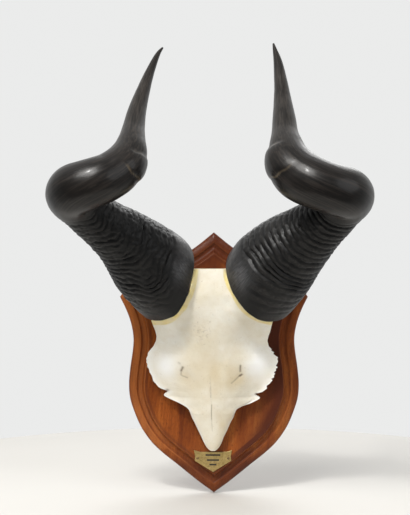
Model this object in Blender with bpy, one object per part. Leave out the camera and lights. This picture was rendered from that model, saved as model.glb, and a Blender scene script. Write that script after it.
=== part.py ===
"""Hartebeest skull cap with both horns, on a moulded wooden wall shield with a small brass plate.

Frame: the origin is the middle of the shield's back face, which lies on the wall.
+Z is up and -Y is the front. Depths are measured forward from the shield's flat field.
Lengths here are in millimetres, the scene is in metres.
"""

import math

import bmesh
import bpy
import numpy as np
from mathutils import Matrix, Vector

MM = 0.001

# Shield
BOARD_THICKNESS = 18.0
FIELD_INSET = 20.0
PEAK = (0.0, 150.0)
SHOULDER = (109.0, 75.2)
TIP = (0.0, -151.6)
TOP_RUN = [(22.0, 132.5), (45.0, 118.5), (70.0, 107.0), (88.0, 97.0), (99.7, 88.2)]
SIDE_RUN = [
    (102.5, 62.0),
    (97.3, 48.5),
    (94.0, 34.0),
    (93.3, 24.0),
    (94.3, 12.0),
    (97.0, -7.0),
    (98.5, -25.0),
    (97.4, -41.0),
    (93.0, -56.0),
    (84.3, -76.0),
    (72.0, -93.5),
    (59.5, -105.5),
    (43.0, -118.6),
    (16.0, -140.2),
]
# Moulding, as inset from the edge and height above the back: outer band, cove, step up to the field
MOULDING = [
    (0.0, 0.0),
    (0.0, 7.0),
    (1.2, 8.8),
    (4.0, 10.4),
    (7.5, 11.6),
    (10.4, 11.8),
    (11.8, 10.8),
    (14.4, 10.8),
    (16.5, 12.6),
    (17.8, 15.6),
    (18.6, 17.6),
    (FIELD_INSET, BOARD_THICKNESS),
]

# Gap between pieces that touch
GAP = 0.3

# Skull cap: Z of each section with its left and right edge, height at the rim, height at the middle
SECTIONS = [
    (108.0, -68.0, 64.0, 16.0, 60.0),
    (93.0, -73.2, 68.8, 24.0, 63.0),
    (77.0, -73.2, 67.8, 28.0, 64.0),
    (61.5, -72.1, 66.5, 27.0, 61.0),
    (55.0, -71.2, 65.9, 25.5, 58.8),
    (49.6, -70.2, 64.4, 24.0, 57.0),
    (44.0, -68.5, 63.2, 22.5, 55.0),
    (38.2, -66.4, 62.6, 21.0, 53.0),
    (32.0, -65.1, 60.8, 20.0, 51.0),
    (26.8, -65.7, 60.0, 19.5, 49.2),
    (19.9, -69.0, 62.0, 19.0, 46.9),
    (13.1, -74.7, 67.5, 18.5, 44.8),
    (6.3, -77.0, 71.4, 18.0, 42.7),
    (0.0, -76.3, 71.7, 17.6, 41.0),
    (-7.4, -74.0, 70.3, 17.0, 39.0),
    (-12.0, -71.7, 68.4, 16.6, 37.8),
    (-16.5, -70.0, 66.8, 16.0, 36.5),
    (-20.0, -68.3, 65.2, 15.6, 35.5),
    (-23.3, -66.0, 62.9, 15.2, 34.6),
    (-27.0, -62.5, 61.1, 14.6, 33.6),
    (-28.6, -60.0, 59.8, 14.4, 33.2),
    (-30.2, -54.6, 57.6, 14.2, 32.7),
    (-31.6, -53.2, 55.9, 14.0, 32.3),
    (-32.7, -53.8, 54.0, 13.8, 32.0),
    (-33.8, -55.2, 49.0, 13.5, 31.7),
    (-35.2, -57.3, 47.9, 13.2, 31.3),
    (-37.0, -56.4, 49.2, 12.8, 30.8),
    (-38.7, -53.2, 52.7, 12.6, 30.3),
    (-40.2, -50.2, 51.8, 12.4, 29.9),
    (-43.8, -41.6, 45.1, 12.0, 28.8),
    (-46.5, -35.9, 38.6, 12.2, 28.1),
    (-49.0, -31.6, 31.0, 12.5, 27.3),
    (-51.5, -28.9, 25.6, 12.5, 26.6),
    (-54.1, -27.8, 24.3, 12.5, 25.8),
    (-60.9, -25.6, 22.4, 12.0, 23.6),
    (-67.8, -21.9, 18.5, 11.5, 21.4),
    (-75.7, -18.3, 15.3, 10.8, 18.8),
    (-83.7, -14.5, 11.2, 10.0, 16.0),
    (-91.7, -11.0, 8.3, 9.0, 13.0),
    (-96.0, -8.6, 6.0, 8.3, 11.2),
    (-98.4, -6.2, 3.8, 7.9, 10.3),
    (-100.3, -3.4, 1.0, 7.4, 9.0),
]
TOP_POINTS = 19
UNDER_POINTS = 9
ORBIT_X, ORBIT_Z = 63.0, -6.0
ORBIT_HALF_WIDTH, ORBIT_HALF_HEIGHT = 27.0, 27.0
RIM_THICKNESS = 3.6
STUB_RADIUS = 42.0

# Horns: X, depth, Z and radius of the stations from the base to the tip
LEFT_HORN = [
    (-54.3, 36.0, 95.6, 46.4),
    (-67.0, 50.0, 108.6, 46.2),
    (-80.9, 66.0, 124.4, 40.6),
    (-95.5, 82.0, 139.2, 34.4),
    (-111.7, 99.0, 151.8, 29.2),
    (-126.8, 114.0, 163.5, 26.4),
    (-140.9, 129.0, 176.0, 25.0),
    (-147.0, 143.0, 184.7, 26.6),
    (-143.2, 154.0, 189.2, 26.9),
    (-132.3, 161.0, 192.8, 26.2),
    (-119.1, 162.0, 197.3, 25.4),
    (-108.3, 158.0, 202.1, 24.5),
    (-95.3, 150.0, 211.8, 23.7),
    (-88.3, 141.0, 224.8, 20.0),
    (-86.3, 132.0, 239.1, 15.4),
    (-85.0, 119.0, 254.7, 12.4),
    (-82.1, 101.0, 277.6, 10.1),
    (-76.6, 85.0, 300.2, 7.9),
    (-70.0, 71.0, 322.9, 5.2),
    (-61.4, 58.0, 345.4, 2.4),
    (-56.6, 54.0, 352.5, 0.9),
]
RIGHT_HORN = [
    (50.4, 35.0, 91.6, 47.2),
    (63.6, 52.0, 108.8, 47.9),
    (77.8, 66.0, 125.3, 42.9),
    (93.5, 83.0, 139.6, 36.2),
    (108.5, 100.0, 153.1, 30.8),
    (122.0, 115.0, 165.0, 27.6),
    (131.4, 130.0, 175.8, 26.2),
    (137.0, 143.0, 183.7, 26.6),
    (131.6, 154.0, 186.6, 26.6),
    (119.6, 161.0, 188.9, 26.2),
    (102.3, 161.0, 195.0, 26.2),
    (84.8, 151.0, 204.8, 26.9),
    (75.6, 142.0, 217.2, 24.8),
    (73.6, 132.0, 233.0, 19.3),
    (73.1, 120.0, 248.6, 15.0),
    (73.2, 107.0, 266.0, 12.9),
    (72.6, 90.0, 289.4, 9.9),
    (71.5, 76.0, 312.9, 7.5),
    (69.1, 63.0, 336.6, 4.6),
    (66.7, 57.0, 348.5, 2.6),
    (64.9, 54.0, 357.2, 0.9),
]
HORNS = {"left": LEFT_HORN, "right": RIGHT_HORN}
# How far the plane of each base leans from square to the horn, as slopes across it and to the front,
# and how far a keel at the front makes the base wider there
BASE_LEAN = {"left": (0.29, -0.03), "right": (0.17, -0.03)}
KEEL = {"left": 0.13, "right": 0.11}
HORN_SIDES = 16
RINGS_FROM = 18.0
RING_SPACING = 10.6
RING_COUNT = 13
RING_DEPTH = 1.7
SPINE_SOFTNESS = 19.0

# Brass plate with a pin at each side
PLATE_X = -1.2
PLATE_THICKNESS = 1.0
PLATE_HALF = [(15.0, -102.6), (21.9, -100.6), (20.4, -107.6), (20.9, -112.8), (0.0, -125.6)]
PIN_X, PIN_Z = 17.6, -109.8

# Toothed hanger let into the back: a strip with its middle set out from its two ends
HANGER_Z = 118.0
HANGER_WIDTH, HANGER_THICKNESS = 10.0, 1.0
HANGER_END, HANGER_BEND, HANGER_MIDDLE = 25.0, 17.5, 14.5
HANGER_SCREW_X = 21.2
HANGER_RECESS = 3.6
TOOTH_PITCH, TOOTH_DEPTH = 3.0, 1.8

# Screws that hold the skull through the board
SKULL_SCREW_Z = [70.0, -20.0]


def shade(name, colour, roughness, metallic=0.0):
    material = bpy.data.materials.new(name)
    material.use_nodes = True
    bsdf = material.node_tree.nodes["Principled BSDF"]
    bsdf.inputs["Base Color"].default_value = (*colour, 1.0)
    bsdf.inputs["Roughness"].default_value = roughness
    bsdf.inputs["Metallic"].default_value = metallic
    material.diffuse_color = (*colour, 1.0)
    return material


def place(bm, name, collection, material=None):
    bmesh.ops.recalc_face_normals(bm, faces=bm.faces)
    mesh = bpy.data.meshes.new(name)
    bm.to_mesh(mesh)
    bm.free()
    obj = bpy.data.objects.new(name, mesh)
    collection.objects.link(obj)
    if material:
        mesh.materials.append(material)
    return obj


def cut(obj, cutter):
    modifier = obj.modifiers.new(f"cut {cutter.name}", "BOOLEAN")
    modifier.operation = "DIFFERENCE"
    modifier.solver = "EXACT"
    modifier.object = cutter


def loft(sections, tip=None):
    """A closed body through rings of points in millimetres, its far end flat or a point."""
    bm = bmesh.new()
    rings = [[bm.verts.new(Vector(p) * MM) for p in section] for section in sections]
    for near, far in zip(rings, rings[1:]):
        count = len(near)
        for i in range(count):
            j = (i + 1) % count
            bm.faces.new((near[i], near[j], far[j], far[i]))
    bm.faces.new(rings[0])
    if tip is None:
        bm.faces.new(rings[-1])
    else:
        apex = bm.verts.new(Vector(tip) * MM)
        last = rings[-1]
        for i in range(len(last)):
            bm.faces.new((last[i], last[(i + 1) % len(last)], apex))
    return bm


def lathe(profile, steps, origin, axis):
    """A turned body: radius and distance along the axis from the origin, in millimetres."""
    bm = bmesh.new()
    verts = [bm.verts.new((r * MM, 0.0, h * MM)) for r, h in profile]
    edges = [bm.edges.new(pair) for pair in zip(verts, verts[1:])]
    bmesh.ops.spin(
        bm,
        geom=verts + edges,
        axis=(0.0, 0.0, 1.0),
        cent=(0.0, 0.0, 0.0),
        angle=2.0 * math.pi,
        steps=steps,
        use_duplicate=False,
    )
    bmesh.ops.remove_doubles(bm, verts=bm.verts, dist=1e-6)
    turn = Vector(axis).to_track_quat("Z", "Y").to_matrix().to_4x4()
    bmesh.ops.transform(bm, matrix=Matrix.Translation(Vector(origin) * MM) @ turn, verts=bm.verts)
    return bm


def slab(outline, front, back):
    """A plate with a straight edge, from an outline in X and Z."""
    return loft([[(x, -h, z) for x, z in outline] for h in (back, front)])


def smooth_run(points, count):
    """Evenly spread points of a smooth curve through the given points, whatever they are made of."""
    p = np.array(points, float)
    ends = np.vstack([2 * p[0] - p[1], p, 2 * p[-1] - p[-2]])
    dims = min(3, p.shape[1])
    fine = []
    for i in range(1, len(ends) - 2):
        p0, p1, p2, p3 = ends[i - 1 : i + 3]
        t0 = 0.0
        t1 = t0 + max(np.linalg.norm((p1 - p0)[:dims]) ** 0.5, 1e-6)
        t2 = t1 + max(np.linalg.norm((p2 - p1)[:dims]) ** 0.5, 1e-6)
        t3 = t2 + max(np.linalg.norm((p3 - p2)[:dims]) ** 0.5, 1e-6)
        for t in np.linspace(t1, t2, 24, endpoint=False):
            a1 = (t1 - t) / (t1 - t0) * p0 + (t - t0) / (t1 - t0) * p1
            a2 = (t2 - t) / (t2 - t1) * p1 + (t - t1) / (t2 - t1) * p2
            a3 = (t3 - t) / (t3 - t2) * p2 + (t - t2) / (t3 - t2) * p3
            b1 = (t2 - t) / (t2 - t0) * a1 + (t - t0) / (t2 - t0) * a2
            b2 = (t3 - t) / (t3 - t1) * a2 + (t - t1) / (t3 - t1) * a3
            fine.append((t2 - t) / (t2 - t1) * b1 + (t - t1) / (t2 - t1) * b2)
    fine.append(p[-1])
    fine = np.array(fine)
    steps = np.linalg.norm(np.diff(fine[:, :dims], axis=0), axis=1)
    along = np.concatenate([[0.0], np.cumsum(steps)])
    at = np.linspace(0.0, along[-1], count)
    return np.stack([np.interp(at, along, fine[:, k]) for k in range(p.shape[1])], 1)


def shield_outline():
    """The edge, clockwise from the peak as seen from the front."""
    top = smooth_run(TOP_RUN, 6)
    side = smooth_run([SHOULDER, *SIDE_RUN], 25)
    right = [PEAK, *map(tuple, top), *map(tuple, side), TIP]
    return right + [(-x, z) for x, z in reversed(right[1:-1])]


def inset(outline, width):
    points = np.array(outline)
    ahead = np.roll(points, -1, axis=0) - points
    ahead /= np.linalg.norm(ahead, axis=1)[:, None]
    normal = np.stack([ahead[:, 1], -ahead[:, 0]], 1)
    before = np.roll(normal, 1, axis=0)
    mitre = (normal + before) / (1.0 + (normal * before).sum(1))[:, None]
    return points + width * mitre


def build_shield(collection, cutters, wood):
    outline = shield_outline()
    rings = [[(x, -height, z) for x, z in inset(outline, width)] for width, height in MOULDING]
    shield = place(loft(rings), "shield", collection, wood)

    # A recess for the toothed hanger, with a hole for each of its screws
    half, tall = HANGER_END + 3.0, HANGER_WIDTH / 2 + 3.0
    low, high = HANGER_Z - tall, HANGER_Z + tall
    recess = [(-half, low), (half, low), (half, high), (-half, high)]
    cut(shield, place(slab(recess, HANGER_RECESS, -4.0), "hanger recess", cutters))
    for side, x in (("left", -HANGER_SCREW_X), ("right", HANGER_SCREW_X)):
        hole = [(0.0, -4.0), (1.4, -4.0), (1.4, 9.0), (0.0, 9.0)]
        cut(shield, place(lathe(hole, 12, (x, 0.0, HANGER_Z), (0, -1, 0)), f"hanger hole {side}", cutters))

    # Countersunk holes for the skull's screws
    for place_name, z in zip(("upper", "lower"), SKULL_SCREW_Z):
        hole = [(0.0, -2.0), (5.1, -2.0), (5.1, 1.2), (2.5, 4.2), (2.5, 24.0), (0.0, 24.0)]
        cut(shield, place(lathe(hole, 16, (0.0, 0.0, z), (0, -1, 0)), f"board hole {place_name}", cutters))

    # Holes for the pins of the brass plate
    for side, x in (("left", PLATE_X - PIN_X), ("right", PLATE_X + PIN_X)):
        hole = [(0.0, -4.0), (0.95, -4.0), (0.95, 7.5), (0.0, 7.5)]
        at = (x, -BOARD_THICKNESS, PIN_Z)
        cut(shield, place(lathe(hole, 10, at, (0, 1, 0)), f"pin hole {side}", cutters))
    return shield


def horn_base(side):
    """Middle of a horn's base, the directions along, across and in front of it, and its normal."""
    stations = HORNS[side]
    first, second = np.array(stations[0][:3]), np.array(stations[1][:3])
    along = second - first
    along /= np.linalg.norm(along)
    across = np.array((along[2], 0.0, -along[0])) * -np.sign(along[0])
    across /= np.linalg.norm(across)
    front = np.array((0.0, 1.0, 0.0)) - along[1] * along
    front /= np.linalg.norm(front)
    normal = along - BASE_LEAN[side][0] * across - BASE_LEAN[side][1] * front
    return first, along, across, front, normal / np.linalg.norm(normal)


def keel(side, across, front):
    """How much wider the base is in a direction, given by its parts across the horn and to its front."""
    angle = np.arctan2(across + 0.24 * front, front)
    return 1.0 + KEEL[side] * np.exp(-((angle / 0.62) ** 2))


def stub_height(x, z, side):
    """Depth of the bony stub that carries a horn, a little above the plane of the horn's base."""
    centre, _, across, front, n = horn_base(side)
    right, up = np.broadcast_arrays(x - centre[0], z - centre[2])
    plane = centre[1] - (right * n[0] + up * n[2]) / n[1]
    away = np.stack([right, plane - centre[1], up], -1)
    radius = np.linalg.norm(away, axis=-1) / keel(side, away @ across, away @ front)
    fall = np.logaddexp(0.0, (radius - STUB_RADIUS) / 2.0) * 2.0
    return plane + 3.0 / n[1] - 1.8 * fall


def blend_max(a, b, width):
    h = np.clip(0.5 + 0.5 * (a - b) / width, 0.0, 1.0)
    return b + (a - b) * h + width * h * (1.0 - h)


def skull_middle(z):
    """The skull leans a little to its left side."""
    return np.interp(z, [-100.0, 10.0, 60.0, 108.0], [-1.6, -2.9, -2.7, -2.0])


def dome_half(z):
    """Half width of the dome, evened out over the notches of its edge."""
    table = np.array(SECTIONS)[::-1]
    half = (table[:, 2] - table[:, 1]) / 2
    return sum(np.interp(z + step, table[:, 0], half) for step in (-6.0, -3.0, 0.0, 3.0, 6.0)) / 5


def skull_top(x, z, rim, middle):
    """Depth of the outer surface: a broad dome, rounder along the nose, with a stub for each horn."""
    u = np.clip(np.abs(x - skull_middle(z)) / dome_half(z), 0.0, 1.0)
    brow = 0.5 * (1.0 + np.cos(np.pi * u**1.25))
    nose = np.clip((-38.0 - z) / 18.0, 0.0, 1.0)
    pedicle = np.clip((z - 12.0) / 50.0, 0.0, 1.0)
    arch = np.sqrt(np.maximum(0.0, 1.0 - u ** (2.2 + 1.8 * pedicle)))
    shape = brow + (arch - brow) * np.maximum(nose, pedicle)
    dome = rim + (middle - rim) * shape
    for side in HORNS:
        dome = blend_max(dome, stub_height(x, z, side), 6.0)
    return dome


def skull_under(x, z, top):
    """Depth of the underside: flat on the board, hollow under the eye sockets and under the nose."""
    across = np.abs(x - skull_middle(z)) - ORBIT_X
    reach = (across / ORBIT_HALF_WIDTH) ** 2 + ((z - ORBIT_Z) / ORBIT_HALF_HEIGHT) ** 2
    vault = np.clip(1.6 - 1.6 * reach, 0.0, 1.0)
    nose = np.clip((-44.0 - z) / 14.0, 0.0, 1.0)
    hollow = np.maximum(vault, nose)
    hollow = hollow * hollow * (3.0 - 2.0 * hollow)
    return GAP + (np.maximum(top - RIM_THICKNESS, GAP) - GAP) * hollow


def build_skull(collection, cutters, bone):
    spread = np.linspace(-1.0, 1.0, TOP_POINTS)
    spread = spread * (1.3 - 0.3 * spread**2)
    under = np.linspace(1.0, -1.0, UNDER_POINTS)
    rings = []
    for z, left, right, rim, middle in SECTIONS:
        centre, half = (left + right) / 2, (right - left) / 2
        x = centre + half * spread
        top = skull_top(x, z, rim, middle)
        xu = centre + (half - 0.6) * under
        bottom = skull_under(xu, z, skull_top(xu, z, rim, middle))
        ring = [(a, -BOARD_THICKNESS - d, z) for a, d in zip(x, top)]
        ring += [(a, -BOARD_THICKNESS - d, z) for a, d in zip(xu, bottom)]
        rings.append(ring)
    skull = place(loft(rings), "skull", collection, bone)

    # The plane faces that carry the horns
    for side in HORNS:
        centre, _, _, _, n = horn_base(side)
        base = centre - GAP * n
        origin = (base[0], -BOARD_THICKNESS - base[1], base[2])
        cutter = lathe([(0.0, 0.0), (75.0, 0.0), (75.0, 60.0), (0.0, 60.0)], 24, origin, (n[0], -n[1], n[2]))
        cut(skull, place(cutter, f"horn face {side}", cutters))
    for place_name, z in zip(("upper", "lower"), SKULL_SCREW_Z):
        hole = [(0.0, -6.0), (2.2, -6.0), (2.2, 16.0), (0.0, 16.0)]
        at = (0.0, -BOARD_THICKNESS, z)
        cut(skull, place(lathe(hole, 12, at, (0, -1, 0)), f"skull hole {place_name}", cutters))
    return skull


def horn_stations():
    """Distances along a horn of its sections: three to a ring up to the first bend, then wider apart."""
    at = [0.0, 1.2, 9.0]
    for ring in range(RING_COUNT):
        start = RINGS_FROM + ring * RING_SPACING
        at += [start, start + 0.32 * RING_SPACING, start + 0.72 * RING_SPACING]
    last = RINGS_FROM + RING_COUNT * RING_SPACING
    return at, last


def ring_relief(s):
    """How far the surface lies under the crests of the rings, at a distance along the horn."""
    phase = (s - RINGS_FROM) / RING_SPACING
    wave = 0.5 + 0.5 * np.cos(2.0 * np.pi * (phase - np.floor(phase)))
    inside = np.clip((s - RINGS_FROM + 3.0) / 6.0, 0.0, 1.0)
    inside *= np.clip((RINGS_FROM + RING_COUNT * RING_SPACING + 3.0 - s) / 6.0, 0.0, 1.0)
    return RING_DEPTH * wave * inside


def horn_length(stations):
    return np.linalg.norm(np.diff(smooth_run(stations, 600)[:, :3], axis=0), axis=1).sum()


def swept_horn(side, sections, sides):
    """Rings of points on the round body around the horn's axis, seen from a softer line in it."""
    stations = HORNS[side]
    length = horn_length(stations)
    total = int(length) + 1
    path = smooth_run(stations, total)
    centre, radius = path[:, :3], path[:, 3]
    along = np.arange(total) * length / (total - 1)
    reach = 60
    gauss = np.exp(-0.5 * (np.arange(-reach, reach + 1) / SPINE_SOFTNESS) ** 2)
    gauss /= gauss.sum()
    before, after = 2 * centre[0] - centre[reach:0:-1], 2 * centre[-1] - centre[-2 : -2 - reach : -1]
    padded = np.vstack([before, centre, after])
    soft = np.stack([np.convolve(padded[:, k], gauss, "valid") for k in range(3)], 1)
    weight = np.clip((along - 60.0) / 40.0, 0.0, 1.0) * np.clip((length - 60.0 - along) / 40.0, 0.0, 1.0)
    weight = weight * weight * (3.0 - 2.0 * weight)
    spine = centre + (soft - centre) * weight[:, None]
    tangent = np.gradient(spine, axis=0)
    tangent[:12] = tangent[0]
    tangent /= np.linalg.norm(tangent, axis=1)[:, None]
    # A frame that turns as little as it can along the line
    side_vector = np.cross(tangent[0], (0.0, 0.0, 1.0))
    side_vector /= np.linalg.norm(side_vector)
    frames = [side_vector]
    for t in tangent[1:]:
        v = frames[-1] - t * frames[-1].dot(t)
        frames.append(v / np.linalg.norm(v))
    frames = np.array(frames)
    index = [min(int(round(s / length * (total - 1))), total - 1) for s in sections]
    origins = [np.array([np.interp(s, along, spine[:, k]) for k in range(3)]) for s in sections]
    normals = [tangent[i] for i in index]
    _, axis, across, front, _ = horn_base(side)
    rings = []
    for number, s in enumerate(sections):
        i, o, t = index[number], origins[number], normals[number]
        a = frames[i] - t * frames[i].dot(t)
        a /= np.linalg.norm(a)
        b = np.cross(t, a)
        near = slice(max(0, i - 60), min(total, i + 60))
        c, r = centre[near], radius[near]
        base = max(0.0, 1.0 - s / 30.0)
        ring = []
        for k in range(sides):
            angle = 2.0 * math.pi * k / sides
            u = a * math.cos(angle) + b * math.sin(angle)
            ahead = (c - o) @ u
            gone = ((c - o) ** 2).sum(1) - r**2
            root = ahead**2 - gone
            met = root > 0.0
            reach = np.sqrt(np.maximum(root, 0.0))
            enter, leave = ahead - reach, ahead + reach
            distance = 0.0
            while True:
                here = met & (enter <= distance + 0.02) & (leave > distance + 0.02)
                if not here.any():
                    break
                distance = leave[here].max()
            # Inside a bend the surface stops short of where neighbouring sections meet
            for other in (number - 1, number + 1):
                if 0 <= other < len(sections):
                    slope = u.dot(normals[other]) * (other - number)
                    if slope > 1e-6:
                        meet = abs((origins[other] - o).dot(normals[other])) / slope
                        distance = min(distance, 0.96 * meet)
            wider = 1.0 + (keel(side, u.dot(across), u.dot(front)) - 1.0) * max(0.0, 1.0 - s / 60.0)
            away = u * (distance * wider - ring_relief(s))
            slope = BASE_LEAN[side][0] * away.dot(across) + BASE_LEAN[side][1] * away.dot(front)
            ring.append(o + away + axis * slope * base)
        rings.append(np.array(ring))
    return rings


def build_horn(side, collection, sheath):
    at, last = horn_stations()
    length = horn_length(HORNS[side])
    at += list(np.linspace(last, last + 78.0, 15))
    at += list(np.linspace(last + 84.0, length - 1.0, 17))
    rings = swept_horn(side, at, HORN_SIDES)
    sections = [[(p[0], -BOARD_THICKNESS - p[1], p[2]) for p in ring] for ring in rings]
    end = HORNS[side][-1]
    tip = (end[0], -BOARD_THICKNESS - end[1], end[2])
    return place(loft(sections, tip), f"{side}_horn", collection, sheath)


def build_plate(collection, cutters, brass):
    right = [(PLATE_X + x, z) for x, z in PLATE_HALF]
    left = [(PLATE_X - x, z) for x, z in reversed(PLATE_HALF[:-1])]
    back = BOARD_THICKNESS + GAP
    front = back + PLATE_THICKNESS
    centre = np.array([PLATE_X, -111.0])
    outline = np.array(right + left)
    face = centre + (outline - centre) * 0.975
    rings = []
    for points, height in ((outline, back), (outline, front - 0.35), (face, front)):
        rings.append([(x, -height, z) for x, z in points])
    plate = place(loft(rings), "name_plate", collection, brass)
    for side, x in (("left", PLATE_X - PIN_X), ("right", PLATE_X + PIN_X)):
        hole = [(0.0, -4.0), (0.95, -4.0), (0.95, 4.0), (0.0, 4.0)]
        cut(plate, place(lathe(hole, 12, (x, -front, PIN_Z), (0, 1, 0)), f"plate hole {side}", cutters))
        head = front + GAP
        pin = [(0.0, 1.1), (0.8, 1.0), (1.35, 0.6), (1.5, 0.0), (0.65, 0.0), (0.65, -8.0), (0.0, -8.4)]
        place(lathe(pin, 12, (x, -head, PIN_Z), (0, -1, 0)), f"plate_pin_{side}", collection, brass)


def build_hanger(collection, cutters, steel):
    deep = HANGER_RECESS - GAP
    near = HANGER_THICKNESS + 0.4
    side_line = [(HANGER_END, deep), (HANGER_BEND, deep), (HANGER_MIDDLE, near)]
    front = side_line + [(-x, d) for x, d in reversed(side_line)]
    strip = front + [(x, d - HANGER_THICKNESS) for x, d in reversed(front)]
    low, high = HANGER_Z - HANGER_WIDTH / 2, HANGER_Z + HANGER_WIDTH / 2
    bent = loft([[(x, -d, z) for x, d in strip] for z in (low, high)])
    plate = place(bent, "hanger_plate", collection, steel)
    count = 8
    for k in range(count):
        x = (k - (count - 1) / 2) * TOOTH_PITCH
        half = 0.42 * TOOTH_PITCH
        notch = [(x - half, low - 0.5), (x + half, low - 0.5), (x, low + TOOTH_DEPTH)]
        cut(plate, place(slab(notch, 6.0, -4.0), f"hanger notch {k + 1}", cutters))
    for side, x in (("left", -HANGER_SCREW_X), ("right", HANGER_SCREW_X)):
        hole = [(0.0, -2.0), (1.6, -2.0), (1.6, 6.0), (0.0, 6.0)]
        cut(plate, place(lathe(hole, 12, (x, 0.0, HANGER_Z), (0, -1, 0)), f"strip hole {side}", cutters))
        seat = deep - HANGER_THICKNESS - GAP
        screw = [(0.0, seat - 1.5), (1.7, seat - 1.2), (2.5, seat - 0.5), (2.5, seat), (1.05, seat)]
        screw += [(1.0, 7.4), (0.0, 8.6)]
        at = (x, 0.0, HANGER_Z)
        body = place(lathe(screw, 14, at, (0, -1, 0)), f"hanger_screw_{side}", collection, steel)
        left, right, below, above = x - 3.0, x + 3.0, HANGER_Z - 0.35, HANGER_Z + 0.35
        slot = [(left, below), (right, below), (right, above), (left, above)]
        cut(body, place(slab(slot, seat - 0.8, -2.0), f"hanger slot {side}", cutters))


def build_skull_screws(collection, cutters, steel):
    for place_name, z in zip(("upper", "lower"), SKULL_SCREW_Z):
        screw = [(0.0, 0.5), (4.6, 0.5), (4.6, 1.0), (2.0, 3.9), (1.9, 28.0), (0.0, 32.0)]
        turned = lathe(screw, 16, (0.0, 0.0, z), (0, -1, 0))
        body = place(turned, f"skull_screw_{place_name}", collection, steel)
        slot = [(-5.5, z - 0.55), (5.5, z - 0.55), (5.5, z + 0.55), (-5.5, z + 0.55)]
        cut(body, place(slab(slot, 1.7, -1.0), f"skull slot {place_name}", cutters))


def main():
    for obj in list(bpy.data.objects):
        bpy.data.objects.remove(obj, do_unlink=True)
    parts = bpy.data.collections.new("hartebeest_skull_trophy")
    cutters = bpy.data.collections.new("cutters")
    bpy.context.scene.collection.children.link(parts)
    bpy.context.scene.collection.children.link(cutters)

    build_shield(parts, cutters, shade("mahogany", (0.19, 0.065, 0.028), 0.38))
    build_skull(parts, cutters, shade("bone", (0.76, 0.69, 0.55), 0.55))
    build_horn("left", parts, shade("horn left", (0.022, 0.019, 0.017), 0.42))
    build_horn("right", parts, shade("horn right", (0.022, 0.019, 0.017), 0.42))
    build_plate(parts, cutters, shade("brass", (0.50, 0.34, 0.12), 0.32, 1.0))
    build_hanger(parts, cutters, shade("steel hanger", (0.55, 0.53, 0.50), 0.38, 1.0))
    build_skull_screws(parts, cutters, shade("steel screws", (0.50, 0.49, 0.47), 0.4, 1.0))

    for obj in cutters.objects:
        obj.hide_render = True
        obj.display_type = "WIRE"
    for name in ("skull", "left_horn", "right_horn"):
        for polygon in bpy.data.objects[name].data.polygons:
            polygon.use_smooth = True


main()
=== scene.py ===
"""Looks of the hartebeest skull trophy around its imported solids: bone, horns, moulded board and brass plate.

The frame is the CAD's: the origin is the middle of the board's back face, +Z is up and -Y is the front.
Shapes are worked out in millimetres, with depth measured forward from the board's field.
"""

import math

import bmesh
import bpy
import numpy as np
from mathutils import Matrix, Vector


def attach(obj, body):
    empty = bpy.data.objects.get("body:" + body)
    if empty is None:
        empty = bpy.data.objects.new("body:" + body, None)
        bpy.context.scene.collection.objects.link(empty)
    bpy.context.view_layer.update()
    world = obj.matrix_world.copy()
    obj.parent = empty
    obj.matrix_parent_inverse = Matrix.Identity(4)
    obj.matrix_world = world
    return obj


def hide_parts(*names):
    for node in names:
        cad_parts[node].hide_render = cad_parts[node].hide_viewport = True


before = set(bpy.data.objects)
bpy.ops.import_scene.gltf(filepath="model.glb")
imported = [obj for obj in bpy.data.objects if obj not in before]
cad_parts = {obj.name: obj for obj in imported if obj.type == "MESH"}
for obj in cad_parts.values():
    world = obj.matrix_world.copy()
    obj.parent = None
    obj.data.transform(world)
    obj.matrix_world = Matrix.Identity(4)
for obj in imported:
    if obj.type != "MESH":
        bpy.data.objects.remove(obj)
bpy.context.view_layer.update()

MM = 0.001
GAP = 0.3
CURVE_STEPS = 24
FORWARD, BACKWARD = (0, -1, 0), (0, 1, 0)

# Camera: level, square to the board, in millimetres
CAMERA = (-10.35, -1318, 120.75)
LENS = 79.02
FLOOR_Z = -152.2
FLOOR_RADIUS = 0.5
LIT_POINT = (0, -0.05, 0.08)
# Light: the room's colour in front and behind, and lamps with their place in metres, size, power and colour
DIM_ROOM = (0.16, 0.165, 0.17)
BRIGHT_WALL = (0.83, 0.835, 0.83)
LAMPS = [
    ("key", (-0.66, -1.4, 1.56), 1.3, 40, (1, 0.985, 0.955)),
    ("spot", (-0.52, -1.38, 1.6), 0.24, 18, (1, 0.99, 0.97)),
    ("fill", (1.5, -1.3, 0.85), 1.6, 10, (0.97, 0.985, 1)),
    ("back", (0.3, 1.6, 1.5), 1.6, 16, (1, 1, 1)),
]

# Board: outline in X and Z
BOARD_THICKNESS = 18
PEAK = (0, 150)
SHOULDER = (109, 75.2)
TIP = (0, -151.6)
TOP_RUN = [(22, 132.5), (45, 118.5), (70, 107), (88, 97), (99.7, 88.2)]
SIDE_RUN = [
    (102.5, 62), (97.3, 48.5), (94, 34), (93.3, 24), (94.3, 12), (97, -7), (98.5, -25), (97.4, -41),
    (93, -56), (84.3, -76), (72, -93.5), (59.5, -105.5), (43, -118.6), (16, -140.2),
]
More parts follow.
